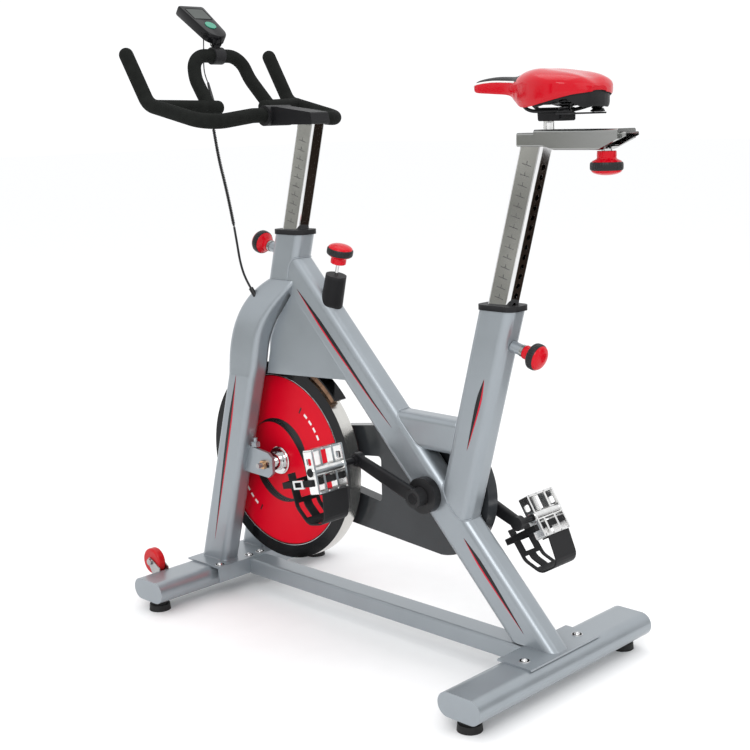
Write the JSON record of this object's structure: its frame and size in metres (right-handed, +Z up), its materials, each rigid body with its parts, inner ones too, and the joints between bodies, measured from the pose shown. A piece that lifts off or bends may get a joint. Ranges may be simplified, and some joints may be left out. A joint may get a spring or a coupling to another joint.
{
  "type": "indoor spin bike",
  "caption": "Stationary exercise bike with a heavy chain driven flywheel, height adjustable saddle and bull horn handlebar, pad brake, cage pedals and a small display.",
  "frame": {"origin": "on the floor, in the middle of the footprint, under the frame", "axes": "+X towards the front of the bike, +Y to the rider's left, +Z up"},
  "size_m": [1.2523, 0.58, 1.4192],
  "materials": {
    "frame_paint": "metallic silver-blue lacquer, satin",
    "black_plastic": "fine grained black plastic",
    "black_gloss": "smooth black plastic",
    "grip_foam": "closed cell foam grip",
    "chrome": "polished chrome",
    "steel": "zinc plated steel",
    "alloy": "cast alloy",
    "knob_red": "glossy red plastic with a black ring",
    "wheel_red": "red plastic wheel",
    "cover_red": "red cover disc",
    "foot_rubber": "moulded rubber",
    "pad_leather": "brown brake leather in a steel shoe",
    "saddle_skin": "red and black vinyl",
    "cord_black": "black cord jacket",
    "guard_grey": "dark grey moulded plastic",
    "crank_black": "black lacquer",
    "button_green": "translucent green plastic"
  },
  "bodies": {
    "frame": {"main_tube": "frame_paint", "seat_tube": "frame_paint", "brace_tube": "frame_paint", "head_tube": "frame_paint", "fork_leg_left": "frame_paint", "fork_leg_right": "frame_paint", "flywheel_fairing": "frame_paint", "base_rail": "frame_paint", "front_stabiliser": "frame_paint", "rear_stabiliser": "frame_paint", "end_caps": "frame_paint", "base_plates": "frame_paint", "plate_bolts": "chrome", "tube_collars": "black_plastic", "brake_boot": "black_plastic", "flywheel_axle": "steel", "axle_plates": "frame_paint", "bearing_shell": "crank_black", "drive_chain": "steel", "chain_guard_inner": "guard_grey", "chain_guard_outer": "guard_grey", "wheel_brackets": "steel", "curly_cord": "cord_black", "cord_tail": "cord_black", "cord_gland": "cord_black"},
    "head_knob": {"head_knob": "knob_red"},
    "seat_knob": {"seat_knob": "knob_red"},
    "handlebar": {"handlebar_post": "chrome", "handlebar_bracket": "black_gloss", "handlebar_bar": "grip_foam", "handlebar_loop": "grip_foam", "console_stem": "black_plastic", "cord_fittings": "cord_black", "console_lead": "cord_black"},
    "console": {"console_case": "black_gloss"},
    "console_button": {"console_button": "button_green"},
    "seat_post": {"seat_post": "chrome"},
    "slider": {"seat_slider": "alloy"},
    "slider_knob": {"slider_knob": "knob_red"},
    "saddle": {"saddle": "saddle_skin", "saddle_rails": "steel", "saddle_clamp": "black_plastic"},
    "brake_pad": {"brake_pad": "pad_leather"},
    "brake_knob": {"brake_knob": "knob_red"},
    "flywheel": {"flywheel_disc": "chrome", "flywheel_covers": "cover_red", "flywheel_hub": "steel"},
    "crank": {"crank_arm_left": "crank_black", "crank_arm_right": "crank_black", "chainring": "steel"},
    "pedal_left": {"pedal_left": "alloy", "toe_clip_left": "black_plastic"},
    "pedal_right": {"pedal_right": "alloy", "toe_clip_right": "black_plastic"},
    "transport_wheel_left": {"transport_wheel_left": "wheel_red"},
    "transport_wheel_right": {"transport_wheel_right": "wheel_red"},
    "foot_front_left": {"foot_front_left": "foot_rubber"},
    "foot_front_right": {"foot_front_right": "foot_rubber"},
    "foot_rear_left": {"foot_rear_left": "foot_rubber"},
    "foot_rear_right": {"foot_rear_right": "foot_rubber"}
  },
  "joints": [
    {"name": "flywheel_spin", "type": "hinge", "parent": "frame", "child": "flywheel", "pos_m": [0.3376, 0, 0.349], "axis": [0, 1, 0], "continuous": true},
    {"name": "crank_spin", "type": "hinge", "parent": "frame", "child": "crank", "pos_m": [-0.145, 0, 0.357], "axis": [0, 1, 0], "continuous": true},
    {"name": "pedal_left_spin", "type": "hinge", "parent": "crank", "child": "pedal_left", "pos_m": [0.01402, 0.172, 0.41709], "axis": [0, 1, 0], "continuous": true},
    {"name": "pedal_right_spin", "type": "hinge", "parent": "crank", "child": "pedal_right", "pos_m": [-0.30402, -0.172, 0.29691], "axis": [0, 1, 0], "continuous": true},
    {"name": "handlebar_height", "type": "slide", "parent": "frame", "child": "handlebar", "axis": [-0.2588, 0, 0.9659], "range_m": [-0.12, 0.02], "deforming": ["curly_cord"]},
    {"name": "console_tilt", "type": "hinge", "parent": "handlebar", "child": "console", "pos_m": [0.523, 0, 1.326], "axis": [0, 1, 0], "range_deg": [-20, 25], "deforming": ["console_lead"]},
    {"name": "console_press", "type": "slide", "parent": "console", "child": "console_button", "axis": [0.5779, 0, -0.8161], "range_m": [0, 0.002], "stiffness_N_per_m": 200, "springref_m": -0.002},
    {"name": "seat_height", "type": "slide", "parent": "frame", "child": "seat_post", "axis": [-0.2588, 0, 0.9659], "range_m": [-0.2, 0.03]},
    {"name": "seat_fore_aft", "type": "slide", "parent": "seat_post", "child": "slider", "axis": [1, 0, 0], "range_m": [-0.04, 0.04]},
    {"name": "slider_knob_turn", "type": "hinge", "parent": "slider", "child": "slider_knob", "pos_m": [-0.573, 0, 1.06], "axis": [0, 0, 1], "range_deg": [-360, 360]},
    {"name": "saddle_tilt", "type": "hinge", "parent": "slider", "child": "saddle", "pos_m": [-0.443, 0, 1.141], "axis": [0, 1, 0], "range_deg": [-10, 10]},
    {"name": "head_knob_pull", "type": "slide", "parent": "frame", "child": "head_knob", "axis": [0.9659, 0, 0.2588], "range_m": [0, 0.01], "stiffness_N_per_m": 800, "springref_m": -0.01},
    {"name": "seat_knob_pull", "type": "slide", "parent": "frame", "child": "seat_knob", "axis": [-0.9659, 0, -0.2588], "range_m": [0, 0.01], "stiffness_N_per_m": 800, "springref_m": -0.01},
    {"name": "brake_press", "type": "slide", "parent": "frame", "child": "brake_pad", "axis": [0.2588, 0, -0.9659], "range_m": [0, 0.0055], "stiffness_N_per_m": 1500, "springref_m": -0.012},
    {"name": "brake_knob_turn", "type": "hinge", "parent": "brake_pad", "child": "brake_knob", "pos_m": [0.128, 0, 0.857], "axis": [-0.2588, 0, 0.9659], "range_deg": [-360, 360]},
    {"name": "transport_wheel_left_spin", "type": "hinge", "parent": "frame", "child": "transport_wheel_left", "pos_m": [0.592, 0.215, 0.094], "axis": [0, 1, 0], "continuous": true},
    {"name": "transport_wheel_right_spin", "type": "hinge", "parent": "frame", "child": "transport_wheel_right", "pos_m": [0.592, -0.215, 0.094], "axis": [0, 1, 0], "continuous": true},
    {"name": "foot_front_left_turn", "type": "hinge", "parent": "frame", "child": "foot_front_left", "pos_m": [0.521, 0.258, 0.01], "axis": [0, 0, 1], "range_deg": [-360, 360]},
    {"name": "foot_front_right_turn", "type": "hinge", "parent": "frame", "child": "foot_front_right", "pos_m": [0.521, -0.258, 0.01], "axis": [0, 0, 1], "range_deg": [-360, 360]},
    {"name": "foot_rear_left_turn", "type": "hinge", "parent": "frame", "child": "foot_rear_left", "pos_m": [-0.448, 0.258, 0.01], "axis": [0, 0, 1], "range_deg": [-360, 360]},
    {"name": "foot_rear_right_turn", "type": "hinge", "parent": "frame", "child": "foot_rear_right", "pos_m": [-0.448, -0.258, 0.01], "axis": [0, 0, 1], "range_deg": [-360, 360]}
  ],
  "couplings": [
    {"joint": "crank_spin", "follows": "flywheel_spin", "ratio": 0.30769}
  ]
}
